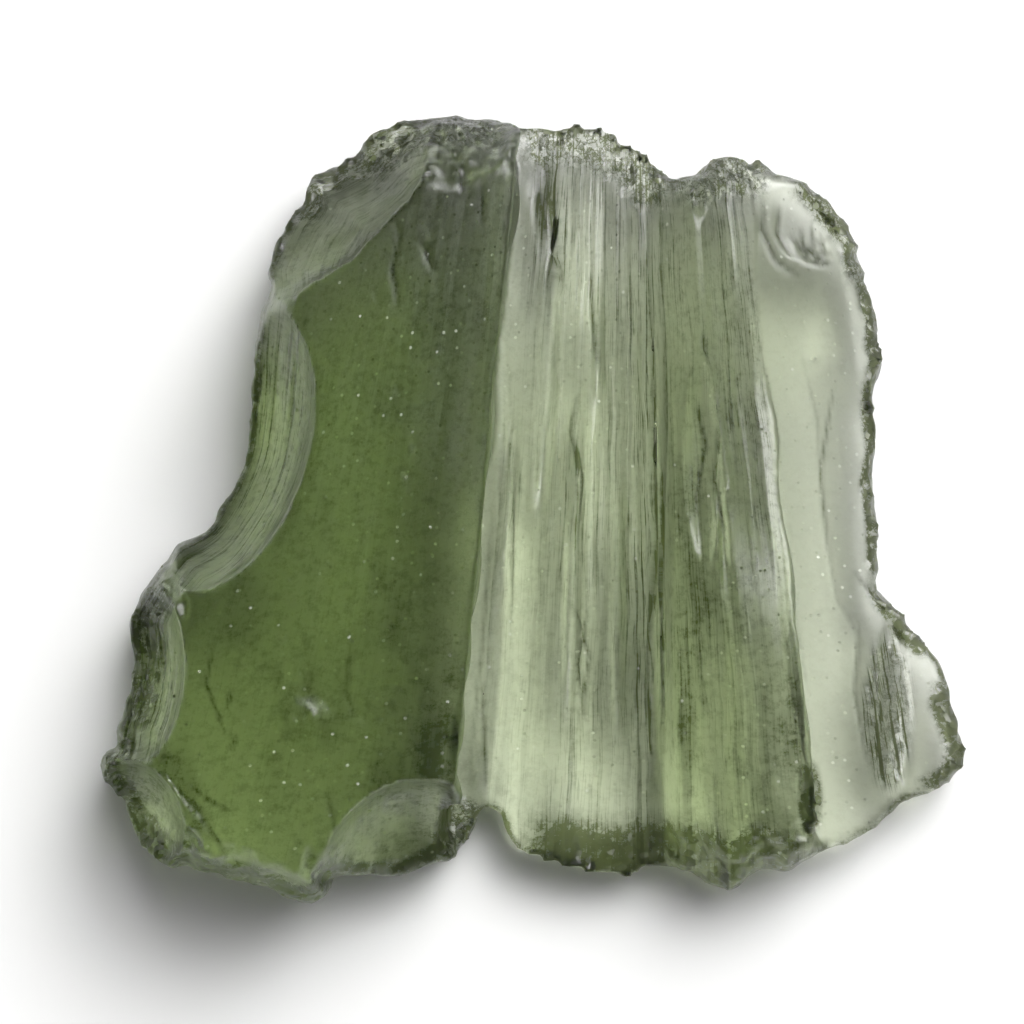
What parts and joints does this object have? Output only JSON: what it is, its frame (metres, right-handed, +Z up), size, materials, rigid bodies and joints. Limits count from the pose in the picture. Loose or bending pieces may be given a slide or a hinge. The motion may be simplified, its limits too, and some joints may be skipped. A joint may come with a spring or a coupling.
{
  "type": "moldavite tektite",
  "caption": "Flat broken flake of bottle-green tektite glass with a thick domed lobe, a fluted terrace, a thin clear margin and shell-shaped scars; a loose specimen that rests on a surface.",
  "frame": {"origin": "on the resting surface under the middle of the stone's bounding box", "axes": "+X across the flow bands, from the thick lobe to the thin margin; +Y along the flow bands; +Z up, out of the fluted face"},
  "size_m": [0.0302, 0.0274, 0.0081],
  "materials": {
    "tektite_glass": "see-through bottle-green natural glass, glossy on the scars, finely fluted and frosted on the bands and the broken rim"
  },
  "bodies": {
    "root": {"moldavite": "tektite_glass"}
  },
  "joints": []
}
